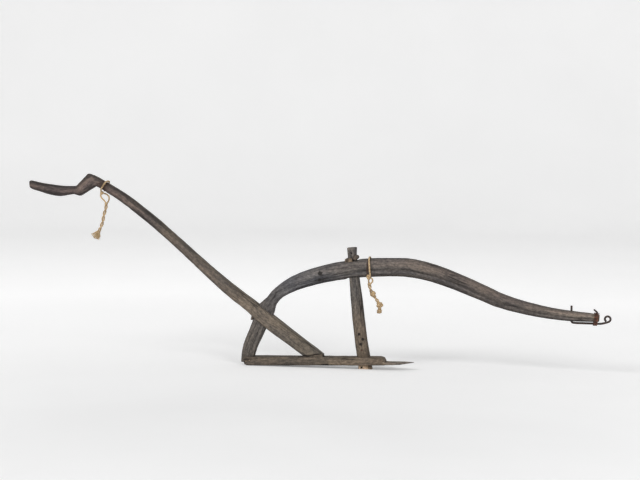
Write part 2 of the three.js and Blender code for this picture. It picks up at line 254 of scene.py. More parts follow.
def vector_calc(tree, operation, *values):
    made = place(tree, "ShaderNodeVectorMath", dict(enumerate(values)), operation=operation)
    return made.outputs["Value" if operation == "DOT_PRODUCT" else "Vector"]


def noise(tree, vector, scale, detail=4, roughness=0.55, distortion=0.0):
    return place(tree, "ShaderNodeTexNoise", {
        "Vector": vector, "Scale": scale, "Detail": detail, "Roughness": roughness,
        "Distortion": distortion,
    }).outputs[0]


def remap(tree, value, low, high, to_low=0.0, to_high=1.0):
    return place(tree, "ShaderNodeMapRange", {
        "Value": value, "From Min": low, "From Max": high, "To Min": to_low, "To Max": to_high,
    }).outputs[0]


def ramp(tree, factor, stops):
    made = place(tree, "ShaderNodeValToRGB", {"Fac": factor})
    elements = made.color_ramp.elements
    while len(elements) < len(stops):
        elements.new(0.5)
    for element, (position, colour) in zip(elements, stops):
        element.position = position
        element.color = colour
    return made.outputs[0]


def blend_colours(tree, factor, first, second, mode="MIX"):
    made = place(tree, "ShaderNodeMix", data_type="RGBA", blend_type=mode)
    feed(tree, made.inputs[0], factor)
    feed(tree, made.inputs[6], first)
    feed(tree, made.inputs[7], second)
    return made.outputs[2]


def new_material(name):
    material = bpy.data.materials.new(name)
    material.use_nodes = True
    tree = material.node_tree
    shader = tree.nodes["Principled BSDF"]
    return material, tree, shader


def bump(tree, shader, height, distance, strength=1.0):
    made = place(tree, "ShaderNodeBump", {
        "Height": height, "Distance": distance, "Strength": strength,
    })
    tree.links.new(made.outputs[0], shader.inputs["Normal"])


# %% [markdown]
# ## The studio
# A pale floor with a hard horizon would draw a line behind the plow. Studios curve the floor up
# into a wall. Here the floor curves up all the way round, far outside the views, so that no
# view has a horizon, and big soft lights keep the shadows faint. Far from the lights the paper
# would turn grey, so it glows a little there, seen by the camera alone, and lights nothing.

# %% Pale paper and the round cove
GLOW_REACH = 12
GLOW_CENTRE = (0, -1.8, 0)


def pale_paper():
    material, tree, shader = new_material("pale_paper")
    places = place(tree, "ShaderNodeTexCoord").outputs["Object"]
    patches = noise(tree, places, 0.7, detail=3)
    colour = ramp(tree, patches, [(0.35, tone(0xE1E1E1)), (0.65, tone(0xE5E5E5))])
    tree.links.new(colour, shader.inputs["Base Color"])
    shader.inputs["Roughness"].default_value = 0.9
    shader.inputs["Specular IOR Level"].default_value = 0.1
    seen = place(tree, "ShaderNodeLightPath").outputs["Is Camera Ray"]
    away = place(
        tree, "ShaderNodeVectorMath", {0: places, 1: GLOW_CENTRE}, operation="DISTANCE"
    ).outputs["Value"]
    glow = ramp(tree, calc(tree, "DIVIDE", away, GLOW_REACH), [
        (0.06, shade(0.1)), (0.15, shade(0.21)), (0.27, shade(0.32)),
        (0.42, shade(0.44)), (0.65, shade(0.43)), (0.95, shade(0.4)),
    ])
    shader.inputs["Emission Color"].default_value = (1, 1, 1, 1)
    tree.links.new(calc(tree, "MULTIPLY", seen, glow), shader.inputs["Emission Strength"])
    return material


FLOOR_RADIUS = 10.5
COVE_RADIUS = 4
WALL_TOP = 9
SIDES = 96
curve = [
    (FLOOR_RADIUS + COVE_RADIUS * math.cos(t), COVE_RADIUS * (1 + math.sin(t)))
    for t in np.linspace(-math.pi / 2, 0, 13)
]
profile = [(2.5, 0), (6, 0)] + curve + [(FLOOR_RADIUS + COVE_RADIUS, WALL_TOP)]
around = np.linspace(0, 2 * math.pi, SIDES, endpoint=False)
cove_points = [(r * math.cos(t), r * math.sin(t), z) for r, z in profile for t in around]
cove_faces = [
    ((row + 1) * SIDES + k, (row + 1) * SIDES + (k + 1) % SIDES, row * SIDES + (k + 1) % SIDES,
     row * SIDES + k)
    for row in range(len(profile) - 1)
    for k in range(SIDES)
]
cove_faces += [tuple(range(SIDES))]
cove = new_object("cove", cove_points, cove_faces, pale_paper())
cove.data.shade_smooth()
print("cove", len(cove_faces), "faces")

# %% [markdown]
# ### Light
# One lamp would throw a hard shadow. A strong wide disc on the handle's side, a weaker one on
# the tip's side and an even white world give soft light. The Standard view shows each colour
# as it was mixed, without a film's curve.

# %% Soft lights
def soft_box(name, place_at, size, watts, aim=(0, 0, 0.35)):
    light = bpy.data.lights.new(name, "AREA")
    light.shape = "DISK"
    light.size = size
    light.energy = watts
    made = bpy.data.objects.new(name, light)
    made.location = place_at
    made.rotation_euler = (Vector(aim) - Vector(place_at)).to_track_quat("-Z", "Y").to_euler()
    bpy.context.collection.objects.link(made)


soft_box("key_light", (-4.6, -8.2, 7.0), 4.6, 690)
soft_box("fill_light", (6.4, -8.2, 5.3), 4.6, 410)

world = bpy.data.worlds.new("studio")
world.use_nodes = True
world.node_tree.nodes["Background"].inputs["Color"].default_value = (1, 1, 1, 1)
world.node_tree.nodes["Background"].inputs["Strength"].default_value = 0.42
bpy.context.scene.world = world
bpy.context.scene.view_settings.view_transform = "Standard"

# %% [markdown]
# ## Straw rope
# Old straw rope is two strands of dry straw, each twisted one way and laid round the other.
# A bump map on a plain tube would lose that outline, so both strands are real tubes, opened a
# little where the old rope has slackened. The finish is pale straw with darker stalks and
# stains that follow the fibres, which is why it reads the rope's own UV map.

# %% Straw finish
def straw_finish(name, stain):
    material, tree, shader = new_material(name)
    fibres = place(tree, "ShaderNodeUVMap", uv_map="fibres").outputs[0]
    stalks = vector_calc(tree, "MULTIPLY", fibres, (160, 7, 1))
    stalk_tone = noise(tree, stalks, 1.0, detail=5, roughness=0.65, distortion=0.4)
    straw = ramp(tree, stalk_tone, [
        (0.3, tone(0x5E4A34)), (0.42, tone(0x9A7E5C)), (0.56, tone(0xCDB28A)),
        (0.75, tone(0xEADBBC)),
    ])
    places = place(tree, "ShaderNodeTexCoord").outputs["Object"]
    patches = remap(tree, noise(tree, places, 38, detail=3), 0.5, 0.72, 0.0, stain)
    colour = blend_colours(tree, patches, straw, tone(0x5A3F24))
    tree.links.new(colour, shader.inputs["Base Color"])
    shader.inputs["Roughness"].default_value = 0.88
    bump(tree, shader, stalk_tone, 0.0006)
    return material


straw = straw_finish("straw", 0.6)

# %% [markdown]
# ### Where the ropes run
# Each rope goes once round its timber, is knotted under it and hangs down. The routes are the
# CAD part's own points, so that the visible rope fills the space that its plain solid kept.

# %% The ropes' routes
def rope_loop(centre, up, half_width, half_depth, turn_from, turn_to, lead, steps):
    """Round a timber: from underneath, up one side, over it and down the other side."""
    turned = np.linspace(0, 1, steps + 1)
    angle = np.radians(turn_from + (turn_to - turn_from) * turned) + math.pi
    across = half_width * np.sign(np.sin(angle)) * np.abs(np.sin(angle)) ** (2 / 3)
    rise = half_depth * np.sign(np.cos(angle)) * np.abs(np.cos(angle)) ** (2 / 3)
    along = lead * (1 - 2 * turned)
    x = centre[0] + up[0] * rise + up[1] * along
    z = centre[1] + up[1] * rise - up[0] * along
    return np.column_stack([x, -across, z]) / 1000


def laid_strand(points, side, pitch, steps=14):
    """One of two strands that wind round each other along a hanging route."""
    route, reach = even_route(points, 0.0005)
    even = np.linspace(0, reach[-1], steps + 1)
    middle = np.column_stack([np.interp(even, reach, route[:, k]) for k in range(3)])
    ahead = np.gradient(middle, axis=0)
    ahead /= np.linalg.norm(ahead, axis=1)[:, None]
    angle = 2 * math.pi * even / pitch
    across = side * STRAND_OPENING * np.sin(angle)
    deep = side * STRAND_OPENING * np.cos(angle)
    return middle + np.column_stack([-across * ahead[:, 2], deep, across * ahead[:, 0]])


STRAND = 0.0072
STRAND_OPENING = 0.0042
handle_loop = rope_loop((-898.2, 745.2), (0.524, 0.852), 23.8, 24.4, 20, 350, 4, 14)
handle_left = metres([
    (-915, -5, 713), (-917, -5, 704), (-911.5, -5, 692.5), (-900.5, -5, 682.5), (-895, -6, 675),
])
handle_right = metres([
    (-907, 4, 713.5), (-897, 5, 711), (-888.5, 3, 706), (-881.5, 1, 698), (-881.5, 0, 686.5),
    (-886.5, 1.5, 677),
])
handle_tail = metres([
    (-893, -3, 666.5), (-893.5, -3, 656.5), (-897, -3, 640.5), (-902, -3, 624.5),
    (-905, -4, 608.5), (-907.5, -4, 592.5), (-912.5, -4, 578.5), (-918.5, -4, 565),
    (-923, -4, 554),
])
beam_loop = rope_loop((253.3, 422.3), (-0.06, 0.998), 37, 44.4, -55, -360, 4, 18)
beam_left = metres([(250.5, -10, 376.5), (251, -19, 372), (252, -24, 366)])
beam_right = metres([
    (265, -38, 384), (269, -37, 378), (270, -36.5, 371), (267, -37.5, 364.5), (262, -38, 361),
])
beam_tail = metres([
    (255, -29, 356.5), (258, -30, 344.5), (262, -30, 331.5), (269.5, -30, 318.5),
    (278.5, -31, 305.5), (287.5, -31, 292.5), (296.5, -31, 280.5), (302, -31, 268.5),
    (301, -31, 254.5), (298, -31, 240.5),
])

# %% Hang one strand of a rope
def hang_strand(name, node, route_points):
    """A strand is itself three bundles of straw, twisted tight."""
    route, reach = even_route(route_points, 0.0012)
    bundles = laid(route, 3, STRAND * 0.29, STRAND * 0.2, 0.021)
    made = join_tubes(name, bundles, straw)
    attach(made, "frame")
    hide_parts(node)
    print(name, "is", round(float(reach[-1]) * 1000), "mm long")


# %% [markdown]
# ### Knots
# A knot tied in full would need a long hand-drawn route, and from a step away only its lump is
# seen. So each knot is a short fat coil.

# %% Tie the knots
def knot(name, centre, along, size, turns=2.4):
    """A strand wrapped round the rope: a short fat coil of three bundles."""
    along = Vector(along).normalized()
    side = along.orthogonal().normalized()
    up = along.cross(side)
    turned = np.linspace(0, 1, int(turns * 22))
    swell = 0.55 + 0.45 * np.sin(math.pi * turned)
    route = np.array([
        Vector(centre) / 1000
        + along * (t - 0.5) * size * 0.7
        + (side * math.cos(2 * math.pi * turns * t) + up * math.sin(2 * math.pi * turns * t))
        * size * 0.34 * s
        for t, s in zip(turned, swell)
    ])
    made = join_tubes(name, laid(route, 3, size * 0.13, size * 0.095, 0.02), straw)
    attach(made, "frame")
    return made


handle_knot = knot("handle_rope_knot", (-893, -3, 669), (0.1, 0, -1), 0.013)
loop_knot = knot("handle_rope_loop_knot", (-912, -2, 715), (0.3, 0.2, -1), 0.016)
edge_knot = knot("beam_rope_edge_knot", (253.5, -36, 387), (0.1, 0.3, -1), 0.019)
beam_knot = knot("beam_rope_knot", (256, -31, 357), (0.2, -0.2, -1), 0.015)
middle_knot = knot("beam_rope_middle_knot", (271, -30.5, 317), (0.6, 0, -0.8), 0.024)
lower_knot = knot("beam_rope_lower_knot", (300.5, -31, 271), (0.4, 0, -0.9), 0.027)
end_knot = knot("beam_rope_end_knot", (299, -31, 246), (-0.2, 0, -1), 0.021)

# %% [markdown]
# ### The frayed end
# The handle's rope ends in a tuft of loose straw. One stalk is modelled and Geometry Nodes
# scatters copies of it over a small disc, each turned a little by its own random amount. The
# seed is fixed, so the tuft comes out the same every time.

# %% Geometry Nodes helpers
def new_tree(name, sockets):
    """A tree with named inputs, one geometry in and one out."""
    tree = bpy.data.node_groups.new(name, "GeometryNodeTree")
    tree.interface.new_socket("Geometry", in_out="INPUT", socket_type="NodeSocketGeometry")
    for label, kind in sockets.items():
        tree.interface.new_socket(label, in_out="INPUT", socket_type="NodeSocket" + kind)
    tree.interface.new_socket("Geometry", in_out="OUTPUT", socket_type="NodeSocketGeometry")
    given = tree.nodes.new("NodeGroupInput").outputs
    return tree, given


def finish_tree(tree, geometry, material):
    """Real geometry with its material: the last two steps of every tree."""
    real = place(tree, "GeometryNodeRealizeInstances", {"Geometry": geometry}).outputs[0]
    painted = place(tree, "GeometryNodeSetMaterial", {"Geometry": real, "Material": material})
    place(tree, "NodeGroupOutput", {0: painted.outputs[0]})


def grow(start, tree, values):
    """Runs the tree on an object and keeps the result as its plain mesh."""
    modifier = start.modifiers.new("nodes", "NODES")
    modifier.node_group = tree
    for item in tree.interface.items_tree:
        if item.in_out == "INPUT" and item.name in values:
            modifier[item.identifier] = values[item.name]
    start.update_tag()
    ready = start.evaluated_get(bpy.context.evaluated_depsgraph_get())
    mesh = bpy.data.meshes.new_from_object(ready)
    mesh.name = start.name
    start.modifiers.clear()
    start.data = mesh
    return start


# %% The tree that scatters stalks
def fraying_tree():
    tree, given = new_tree("fraying", {
        "Stalks": "Float", "Stalk Length": "Float", "Stalk Thickness": "Float",
        "Spread": "Float", "Seed": "Int", "Material": "Material",
    })
    disc = place(tree, "GeometryNodeDistributePointsOnFaces", {
        "Mesh": given["Geometry"], "Density": given["Stalks"], "Seed": given["Seed"],
    })
    stalk = place(tree, "GeometryNodeCurveQuadraticBezier", {
        "Resolution": 4, "Start": (0, 0, 0), "Middle": (0.06, 0, 0.5), "End": (0.16, 0.05, 1),
    })
    round_stalk = place(tree, "GeometryNodeCurveToMesh", {
        "Curve": stalk.outputs[0],
        "Profile Curve": place(tree, "GeometryNodeCurvePrimitiveCircle", {
            "Resolution": 4, "Radius": given["Stalk Thickness"],
        }).outputs[0],
        "Fill Caps": True,
    }).outputs[0]
    spread, half_turn = given["Spread"], 3.14
    most = place(tree, "ShaderNodeCombineXYZ", {0: spread, 1: spread, 2: half_turn}).outputs[0]
    turn = place(tree, "FunctionNodeRandomValue", {
        "Min": vector_calc(tree, "MULTIPLY", most, (-1, -1, -1)), "Max": most,
        "Seed": given["Seed"],
    }, data_type="FLOAT_VECTOR").outputs[0]
    stretch = chosen_output(place(tree, "FunctionNodeRandomValue", {
        "Min": 0.55, "Max": 1.0, "Seed": given["Seed"],
    }, data_type="FLOAT"))
    length = calc(tree, "MULTIPLY", stretch, given["Stalk Length"])
    scale = place(tree, "ShaderNodeCombineXYZ", {0: length, 1: length, 2: length}).outputs[0]
    aim = place(tree, "FunctionNodeAlignRotationToVector", {
        "Vector": disc.outputs["Normal"],
    }, axis="Z").outputs[0]
    own_turn = place(tree, "FunctionNodeRotateRotation", {
        "Rotation": aim,
        "Rotate By": place(tree, "FunctionNodeEulerToRotation", {0: turn}).outputs[0],
    }, rotation_space="LOCAL").outputs[0]
    stalks = place(tree, "GeometryNodeInstanceOnPoints", {
        "Points": disc.outputs["Points"], "Instance": round_stalk, "Rotation": own_turn,
        "Scale": scale,
    }).outputs[0]
    finish_tree(tree, stalks, given["Material"])
    return tree


fraying = fraying_tree()


# %% Loose straw, made from a start mesh whose faces say where and which way it grows
def loose_straw_finish():
    material, tree, shader = new_material("loose_straw")
    places = place(tree, "ShaderNodeTexCoord").outputs["Object"]
    stalk_tone = noise(tree, places, 260, detail=2)
    colour = ramp(tree, stalk_tone, [
        (0.36, tone(0x7E6446)), (0.5, tone(0xC2A47A)), (0.66, tone(0xE6D2AC)),
    ])
    tree.links.new(colour, shader.inputs["Base Color"])
    shader.inputs["Roughness"].default_value = 0.85
    return material


loose_straw = loose_straw_finish()
tuft_top = Vector((-923.5, -4, 553)) / 1000
tuft_aim = Vector((-0.48, 0, -0.878))
side = tuft_aim.cross(Vector((0, 1, 0))).normalized()
disc_points = [
    tuft_top + (side * math.cos(t) + Vector((0, math.sin(t), 0))) * 0.0065
    for t in np.linspace(0, 2 * math.pi, 12, endpoint=False)
]
tuft = new_object("handle_rope_fray", disc_points, [tuple(range(12))], loose_straw)
if tuft.data.polygons[0].normal.dot(tuft_aim) < 0:
    tuft.data.flip_normals()
grow(tuft, fraying, {
    "Stalks": 1.3e6, "Stalk Length": 0.04, "Stalk Thickness": 0.02, "Spread": 0.42,
    "Seed": 4, "Material": loose_straw,
})
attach(tuft, "frame")
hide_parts("handle_rope_tuft")
print("tuft", len(tuft.data.polygons), "faces")

# %% Hang both ropes
handle_strands = [laid_strand(handle_tail, side, 0.052) for side in (-1, 1)]
beam_strands = [laid_strand(beam_tail, side, 0.044) for side in (1, -1)]
hang_strand(
    "handle_straw_rope", "handle_rope",
    np.vstack([handle_loop, handle_left, handle_strands[0]]),
)
hang_strand(
    "handle_straw_end", "handle_rope_strand", np.vstack([handle_right, handle_strands[1]]),
)
hang_strand(
    "beam_straw_rope", "beam_rope",
    np.vstack([beam_loop, beam_left, beam_strands[0]]),
)
hang_strand("beam_straw_end", "beam_rope_strand", np.vstack([beam_right, beam_strands[1]]))

# %% [markdown]
# ## Old timber
# Every timber was split and hewn with an adze, then weathered outdoors and polished by hands.
# A subdivided box with a picture of wood would look printed on, and would ignore the bends.
# So each timber is a finely remeshed copy of its CAD solid, and every point is told where it
# lies along and across the grain. Both the carving and the colours then follow the bend.

# %% The pith lines: the middle of each timber, in millimetres, from its rear or lower end
pith_lines = {
    "beam": [
        (-267, 0, 12), (-262, 0, 44), (-251, 0, 89), (-232, 0, 132), (-216, 0, 173),
        (-195, 0, 215), (-183, 0, 243), (-162, 0, 273), (-137, 0, 302), (-57, 0, 353),
        (58, 0, 392), (190, 0, 416), (341, 0, 426), (424, 0, 424), (532, 0, 400),
        (662, 0, 353), (810, 0, 295), (964, 0, 260), (1062, 0, 248), (1192, 0, 240),
    ],
    "handle": [
        (-1240, 0, 747), (-1170, 0, 735), (-1100, 0, 722), (-1048, 0, 722), (-1015, 0, 728),
        (-954, 0, 766), (-928, 0, 759), (-890, 0, 738), (-810, 0, 691), (-714, 0, 622),
        (-611, 0, 538), (-503, 0, 446), (-412, 0, 369), (-332, 0, 305), (-252, 0, 247),
        (-178, 0, 189), (-96, 0, 131), (18, 0, 52),
    ],
    "sole": [(-277, 0, 20), (322, 0, 38), (444, 0, 36)],
    "post": [(231, 0, 0), (228, 0, 60), (217, 0, 121), (197, 0, 287), (185, 0, 399), (175, 0, 506)],
}


def pith_of(node):
    """A short piece has straight grain, along its longest side."""
    if node in pith_lines:
        return metres(pith_lines[node])
    low, high = (np.array(corner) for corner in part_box(node))
    middle, longest = (low + high) / 2, int(np.argmax(high - low))
    start, end = middle.copy(), middle.copy()
    start[longest], end[longest] = low[longest], high[longest]
    return np.array([start, end])


# %% Grain coordinates for every point of a mesh
def grain_places(points, pith):
    """Distance along the pith, offset to the side, offset upwards, all in metres."""
    best = np.full(len(points), np.inf)
    grain = np.zeros((len(points), 3))
    walked = 0.0
    for count, (start, end) in enumerate(zip(pith, pith[1:])):
        step = end - start
        length = np.linalg.norm(step)
        ahead = step / length
        side = np.array((0, 1, 0)) if abs(ahead[1]) < 0.9 else np.array((1, 0, 0))
        up = np.cross(ahead, side)
        offset = points - start
        along = offset @ ahead
        low = -np.inf if count == 0 else 0
        high = np.inf if count == len(pith) - 2 else length
        held = np.clip(along, low, high)
        apart = np.linalg.norm(offset - held[:, None] * ahead, axis=1)
        nearer = apart < best
        best[nearer] = apart[nearer]
        here = np.column_stack([walked + held, offset @ side, offset @ up])
        grain[nearer] = here[nearer]
        walked += length
    return grain, walked


def share_of_depth(grain, bins=90):
    """How far up each point is between its timber's lower and upper edge, from 0 to 1."""
    along, up = grain[:, 0], grain[:, 2]
    edges = np.linspace(along.min(), along.max(), bins + 1)
    which = np.clip(np.digitize(along, edges) - 1, 0, bins - 1)
    low, high = np.full(bins, np.nan), np.full(bins, np.nan)
    for k in range(bins):
        inside = up[which == k]
        if len(inside):
            low[k], high[k] = inside.min(), inside.max()
    centres = (edges[1:] + edges[:-1]) / 2
    good = ~np.isnan(low)
    low_here = np.interp(along, centres[good], low[good])
    high_here = np.interp(along, centres[good], high[good])
    return np.clip((up - low_here) / np.maximum(high_here - low_here, 1e-5), 0, 1)


# %% A fine copy of a CAD solid
def fine_copy(node, voxel, name):
    mesh = frame["nodes"][node].data.copy()
    work = bmesh.new()
    work.from_mesh(mesh)
    bmesh.ops.remove_doubles(work, verts=work.verts, dist=1e-6)
    work.to_mesh(mesh)
    work.free()
    mesh.materials.clear()
    made = bpy.data.objects.new(name, mesh)
    bpy.context.collection.objects.link(made)
    remesh = made.modifiers.new("even", "REMESH")
    remesh.mode = "VOXEL"
    remesh.voxel_size = voxel
    ready = made.evaluated_get(bpy.context.evaluated_depsgraph_get())
    made.data = bpy.data.meshes.new_from_object(ready)
    made.data.name = name
    made.modifiers.clear()
    return made


def store_grain(made, pith):
    count = len(made.data.vertices)
    points = np.empty(count * 3)
    made.data.vertices.foreach_get("co", points)
    points = points.reshape(-1, 3)
    grain, length = grain_places(points, pith)
    layers = {"grain": ("FLOAT_VECTOR", grain), "share": ("FLOAT_VECTOR", np.column_stack([
        grain[:, 0] / length, share_of_depth(grain), np.zeros(count),
    ]))}
    for label, (kind, values) in layers.items():
        layer = made.data.attributes.new(label, kind, "POINT")
        layer.data.foreach_set("vector", values.astype(np.float32).ravel())
    return length


# %% [markdown]
# ### The adze and the weather
# The tree below first rounds the solid's edges, then measures how much each point sticks out
# (the arris value, which the wood's finish uses for painted shade on arrises and in hollows),
# and last pushes the surface in and out: long shallow adze facets, a slow sway of the whole
# timber, fine furrows along the grain and small chips where the arris is sharp.

# %% The tree that carves old wood
def carving_tree():
    tree, given = new_tree("old_timber", {
        "Rounding": "Int", "Reach": "Int", "Facet Length": "Float", "Facet Depth": "Float",
        "Sway": "Float", "Furrow Depth": "Float", "Chip Depth": "Float", "Seed": "Float",
        "Material": "Material",
    })
    place_now = place(tree, "GeometryNodeInputPosition").outputs[0]
    rounded = chosen_output(place(tree, "GeometryNodeBlurAttribute", {
        "Value": place_now, "Iterations": given["Rounding"],
    }, data_type="FLOAT_VECTOR"))
    soft = place(tree, "GeometryNodeSetPosition", {
        "Geometry": given["Geometry"], "Position": rounded,
    }).outputs[0]
    around_here = chosen_output(place(tree, "GeometryNodeBlurAttribute", {
        "Value": place_now, "Iterations": given["Reach"],
    }, data_type="FLOAT_VECTOR"))
    normal = place(tree, "GeometryNodeInputNormal").outputs[0]
    out = vector_calc(
        tree, "DOT_PRODUCT", vector_calc(tree, "SUBTRACT", place_now, around_here), normal,
    )
    measured = place(tree, "GeometryNodeStoreNamedAttribute", {
        "Geometry": soft, "Name": "arris", "Value": calc(tree, "MULTIPLY", out, 1000.0),
    }, data_type="FLOAT", domain="POINT").outputs[0]

    grain = chosen_output(place(tree, "GeometryNodeInputNamedAttribute", {
        "Name": "grain",
    }, data_type="FLOAT_VECTOR"))
    shifted = vector_calc(tree, "ADD", grain, place(tree, "ShaderNodeCombineXYZ", {
        0: given["Seed"], 1: given["Seed"], 2: given["Seed"],
    }).outputs[0])
    per_metre = calc(tree, "DIVIDE", 1.0, given["Facet Length"])
    stretch = place(tree, "ShaderNodeCombineXYZ", {
        0: per_metre, 1: calc(tree, "MULTIPLY", per_metre, 2.6),
        2: calc(tree, "MULTIPLY", per_metre, 2.6),
    }).outputs[0]
    facets = place(tree, "ShaderNodeTexVoronoi", {
        "Vector": vector_calc(tree, "MULTIPLY", shifted, stretch), "Scale": 1.0,
        "Smoothness": 0.25,
    }, feature="SMOOTH_F1").outputs["Distance"]
    facet_rise = calc(tree, "SUBTRACT", facets, 0.45)
    facet_push = calc(tree, "MULTIPLY", facet_rise, given["Facet Depth"])
    furrows = noise(tree, vector_calc(tree, "MULTIPLY", shifted, (14, 210, 210)), 1.0, detail=3)
    furrow_rise = calc(tree, "SUBTRACT", furrows, 0.5)
    furrow_push = calc(tree, "MULTIPLY", furrow_rise, given["Furrow Depth"])
    nicks = noise(tree, vector_calc(tree, "MULTIPLY", shifted, (30, 60, 60)), 1.0, detail=3)
    sharp = remap(tree, calc(tree, "MULTIPLY", out, 1000.0), 0.15, 0.7)
    chips = calc(tree, "MULTIPLY", remap(tree, nicks, 0.52, 0.7), sharp)
    chip_push = calc(tree, "MULTIPLY", chips, calc(tree, "MULTIPLY", given["Chip Depth"], -1.0))
    push = calc(tree, "ADD", calc(tree, "ADD", facet_push, furrow_push), chip_push)
    swing = place(tree, "ShaderNodeTexNoise", {
        "Vector": vector_calc(tree, "MULTIPLY", shifted, (5, 5, 5)), "Scale": 1.0, "Detail": 1.0,
    }).outputs["Color"]
    sway = place(tree, "ShaderNodeVectorMath", {
        0: vector_calc(tree, "SUBTRACT", swing, (0.5, 0.5, 0.5)), "Scale": given["Sway"],
    }, operation="SCALE").outputs[0]
    pushed = place(tree, "ShaderNodeVectorMath", {
        0: normal, "Scale": push,
    }, operation="SCALE").outputs[0]
    carved = place(tree, "GeometryNodeSetPosition", {
        "Geometry": measured, "Offset": vector_calc(tree, "ADD", pushed, sway),
    }).outputs[0]
    smooth = place(tree, "GeometryNodeSetShadeSmooth", {"Geometry": carved}).outputs[0]
    finish_tree(tree, smooth, given["Material"])
    return tree


carving = carving_tree()

# %% [markdown]
# ### The colour of old wood
# Weathered wood is grey where rain reached it, brown where hands and soil did, and nearly black
# in its checks. A scanned board would repeat and ignore the bends, so one recipe serves every
# timber. It takes a list of colours along the timber and a list of shades from its lower to its
# upper edge, which multiply them where fade lets them: painted shade near the edges and a
# painted highlight across the face. Streaks, mottling and blotches multiply the result, and
# fibres, checks, stains, spots of painted shade and painted shade on the arrises and in hollows
# are laid over it along the grain.

# %% The finish of old timber
def timber_finish(name, along, rise, fade=(0, 1, 1, 1), seed=0.0, shine=0.78, stains_and_painted_shade=()):
    """along: colours from one end to the other. rise: how they change from low to high edge,
    as far as fade lets it, as painted shade and painted highlight. Each spot: a place, a reach,
    a dark colour and a strength, for a real stain or for painted shade."""
    material, tree, shader = new_material(name)
    grain = place(tree, "ShaderNodeAttribute", attribute_name="grain").outputs["Vector"]
    grain = vector_calc(tree, "ADD", grain, (seed, seed, seed))
    share = place(tree, "ShaderNodeSeparateXYZ", {
        0: place(tree, "ShaderNodeAttribute", attribute_name="share").outputs["Vector"],
    })
    arris = place(tree, "ShaderNodeAttribute", attribute_name="arris").outputs["Fac"]

    def grown(stretch, detail=4, roughness=0.55):
        return noise(tree, vector_calc(tree, "MULTIPLY", grain, stretch), 1.0, detail, roughness)

    streaks = grown((9, 120, 120), 6, 0.62)
    mottle = grown((75, 150, 150), 5, 0.7)
    fibres = grown((40, 900, 900), 3, 0.6)
    blotches = grown((7, 22, 22), 3, 0.5)
    wobble = calc(tree, "ADD", share.outputs[1], remap(tree, blotches, 0.3, 0.7, -0.06, 0.06))
    wander = calc(tree, "ADD", share.outputs[0], remap(tree, blotches, 0.3, 0.7, -0.015, 0.015))

    # Painted shade and painted highlight: the rise ramp darkens each timber near its edges and
    # lightens its face, as far as fade lets it.
    colour = blend_colours(
        tree, remap(tree, share.outputs[0], *fade),
        ramp(tree, wander, along), ramp(tree, wobble, rise), "MULTIPLY",
    )
    layers = [
        (streaks, [
            (0.34, shade(0.62, 0.62, 0.64)), (0.5, shade(0.95)), (0.66, shade(1.28, 1.25, 1.21)),
        ]),
        (mottle, [
            (0.36, shade(0.55, 0.55, 0.57)), (0.5, shade(0.93, 0.93, 0.92)),
            (0.64, shade(1.38, 1.36, 1.33)),
        ]),
        (blotches, [(0.35, shade(0.78, 0.79, 0.82)), (0.65, shade(1.18, 1.14, 1.08))]),
    ]
    for pattern, stops in layers:
        colour = blend_colours(tree, 1.0, colour, ramp(tree, pattern, stops), "MULTIPLY")
    fibre_mask = remap(tree, fibres, 0.55, 0.75, 0.0, 0.4)
    colour = blend_colours(tree, fibre_mask, colour, tone(0x241E1A))
    checks = place(tree, "ShaderNodeTexVoronoi", {
        "Vector": vector_calc(tree, "MULTIPLY", grain, (3.2, 62, 62)), "Scale": 1.0,
    }, feature="DISTANCE_TO_EDGE").outputs["Distance"]
    sparse = remap(tree, grown((6, 30, 30), 2), 0.5, 0.62)
    check_mask = calc(tree, "MULTIPLY", remap(tree, checks, 0.06, 0.012), sparse)
    colour = blend_colours(tree, calc(tree, "MULTIPLY", check_mask, 0.85), colour, tone(0x17120F))
    places = place(tree, "ShaderNodeTexCoord").outputs["Object"]
    # Each spot is a real stain or painted shade, a dark colour mixed in round its place.
    for centre, reach, spot_colour, depth in stains_and_painted_shade:
        far = place(tree, "ShaderNodeVectorMath", {
            0: vector_calc(tree, "DIVIDE", vector_calc(tree, "SUBTRACT", places, centre), reach),
        }, operation="LENGTH").outputs["Value"]
        ragged = calc(tree, "ADD", far, remap(tree, mottle, 0.3, 0.7, -0.25, 0.25))
        colour = blend_colours(tree, remap(tree, ragged, 1.0, 0.55, 0.0, depth), colour, spot_colour)
    # Painted shade: the sharp arrises are darkened, as bevels turned from the light would be.
    edge = remap(tree, arris, 0.35, 1.1, 0.0, 0.45)
    colour = blend_colours(tree, edge, colour, tone(0x3A332E))
    # Painted shade: hollows are darkened almost to black.
    sunk = remap(tree, arris, -0.15, -0.7, 0.0, 0.8)
    colour = blend_colours(tree, sunk, colour, tone(0x1D1815))
    tree.links.new(colour, shader.inputs["Base Color"])
    roughness = remap(tree, streaks, 0.3, 0.7, shine + 0.1, shine - 0.08)
    tree.links.new(roughness, shader.inputs["Roughness"])
    shader.inputs["Specular IOR Level"].default_value = 0.3
    height = calc(tree, "MULTIPLY", streaks, 0.7)
    for pattern, weight in [(mottle, 0.7), (fibres, 0.25), (check_mask, -1.2)]:
        height = calc(tree, "ADD", height, calc(tree, "MULTIPLY", pattern, weight))
    bump(tree, shader, height, 0.0014, 0.9)
    return material


# %% Finishes of the separate timbers
def spot(reach):
    """A stain that reaches equally far on every side."""
    return (reach, reach, reach)
